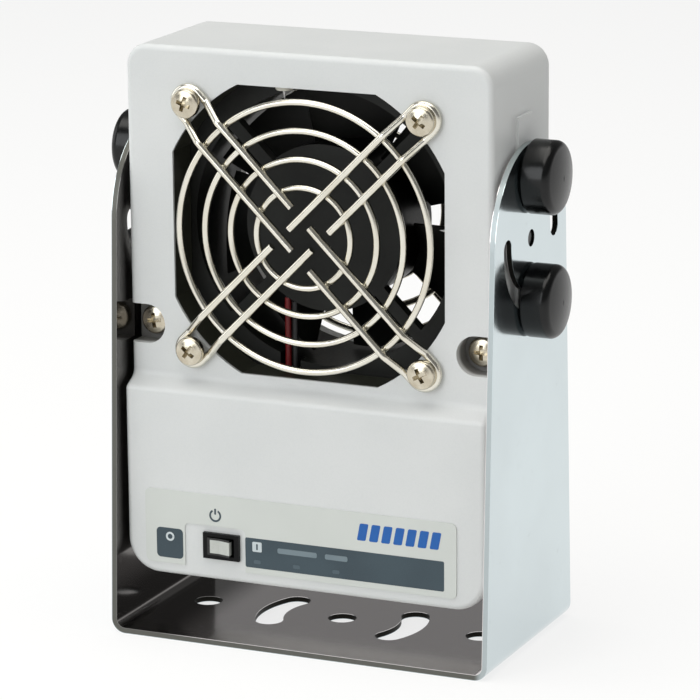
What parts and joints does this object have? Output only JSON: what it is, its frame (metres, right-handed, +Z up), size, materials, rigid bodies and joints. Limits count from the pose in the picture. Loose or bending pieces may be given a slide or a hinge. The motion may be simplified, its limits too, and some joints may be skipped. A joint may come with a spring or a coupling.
{
  "type": "ionizing blower",
  "caption": "Small fan-driven ionizing blower: light grey casing with wire finger guard and rocker switch, tilting in a bent stainless stand with clamping knobs.",
  "frame": {"origin": "on the underside of the stand's base plate, under its middle", "axes": "X runs to the right seen from the front, the front with the fan guard faces -Y, Z is up along the casing"},
  "size_m": [0.098, 0.0466, 0.1227],
  "materials": {
    "shell": "fine moulded texture",
    "stainless": "brushed, semi-bright",
    "guard_wire": "nickel plated, satin",
    "nickel_screw": "nickel plated",
    "steel": "turned steel",
    "knob": "glossy black",
    "brass": "turned brass",
    "fan_plastic": "matt black moulding",
    "blade_plastic": "matt black moulding",
    "laminated_core": "stacked laminations",
    "copper": "enamelled copper winding",
    "magnet": "bonded magnet",
    "socket_resin": "white resin",
    "needle": "polished needle",
    "white_wire": "insulated wire",
    "red_wire": "insulated wire",
    "black_wire": "insulated wire",
    "board": "green solder mask",
    "component": "component body",
    "capacitor": "sleeved can",
    "lamp": "tinted lamp",
    "switch_black": "glossy black",
    "rocker_white": "pale grey",
    "label": "printed overlay",
    "module": "potted block"
  },
  "bodies": {
    "bracket": {"mounting_bracket": "stainless"},
    "impeller": {"impeller": "blade_plastic", "motor_shaft": "steel", "rotor_magnet": "magnet"},
    "rocker": {"power_rocker": "rocker_white"},
    "knob_left_lower": {"knob_left_lower": "knob", "stud_left_lower": "steel"},
    "knob_left_upper": {"knob_left_upper": "knob", "stud_left_upper": "steel"},
    "knob_right_lower": {"knob_right_lower": "knob", "stud_right_lower": "steel"},
    "knob_right_upper": {"knob_right_upper": "knob", "stud_right_upper": "steel"},
    "head": {"front_housing": "shell", "rear_cover": "shell", "front_guard": "guard_wire", "rear_guard": "guard_wire", "front_guard_screws": "nickel_screw", "rear_guard_screws": "nickel_screw", "cover_screws": "nickel_screw", "knob_inserts": "brass", "pivot_pins": "knob", "emitter_sockets": "socket_resin", "emitter_needles": "needle", "emitter_bus": "white_wire", "high_voltage_lead": "white_wire", "control_board": "board", "board_screws": "nickel_screw", "status_leds": "lamp", "fan_connector": "component", "board_capacitors": "capacitor", "switch_housing": "switch_black", "switch_contacts": "brass", "panel_label": "label", "high_voltage_module": "module", "module_screws": "nickel_screw", "power_jack": "switch_black", "jack_pin": "needle", "jack_nut": "nickel_screw", "fan_frame": "fan_plastic", "motor_core": "laminated_core", "motor_coils": "copper", "motor_bearings": "steel", "fan_lead_red": "red_wire", "fan_lead_black": "black_wire", "supply_lead_red": "red_wire", "supply_lead_black": "black_wire"}
  },
  "joints": [
    {"name": "head_tilt", "type": "hinge", "parent": "bracket", "child": "head", "pos_m": [0, 0, 0.086], "axis": [-1, 0, 0], "range_deg": [0, 90]},
    {"name": "fan_spin", "type": "hinge", "parent": "head", "child": "impeller", "pos_m": [0, 0.003, 0.086], "axis": [0, -1, 0], "continuous": true},
    {"name": "power_rocker_tilt", "type": "hinge", "parent": "head", "child": "rocker", "pos_m": [-0.0182, -0.01833, 0.0202], "axis": [0, 0, 1], "range_deg": [0, 14]},
    {"name": "knob_left_lower_turn", "type": "hinge", "parent": "head", "child": "knob_left_lower", "pos_m": [-0.044, 0, 0.0734], "axis": [-1, 0, 0], "range_deg": [0, 360]},
    {"name": "knob_left_upper_turn", "type": "hinge", "parent": "head", "child": "knob_left_upper", "pos_m": [-0.044, 0, 0.0986], "axis": [-1, 0, 0], "range_deg": [0, 360]},
    {"name": "knob_right_lower_turn", "type": "hinge", "parent": "head", "child": "knob_right_lower", "pos_m": [0.044, 0, 0.0734], "axis": [1, 0, 0], "range_deg": [0, 360]},
    {"name": "knob_right_upper_turn", "type": "hinge", "parent": "head", "child": "knob_right_upper", "pos_m": [0.044, 0, 0.0986], "axis": [1, 0, 0], "range_deg": [0, 360]}
  ]
}
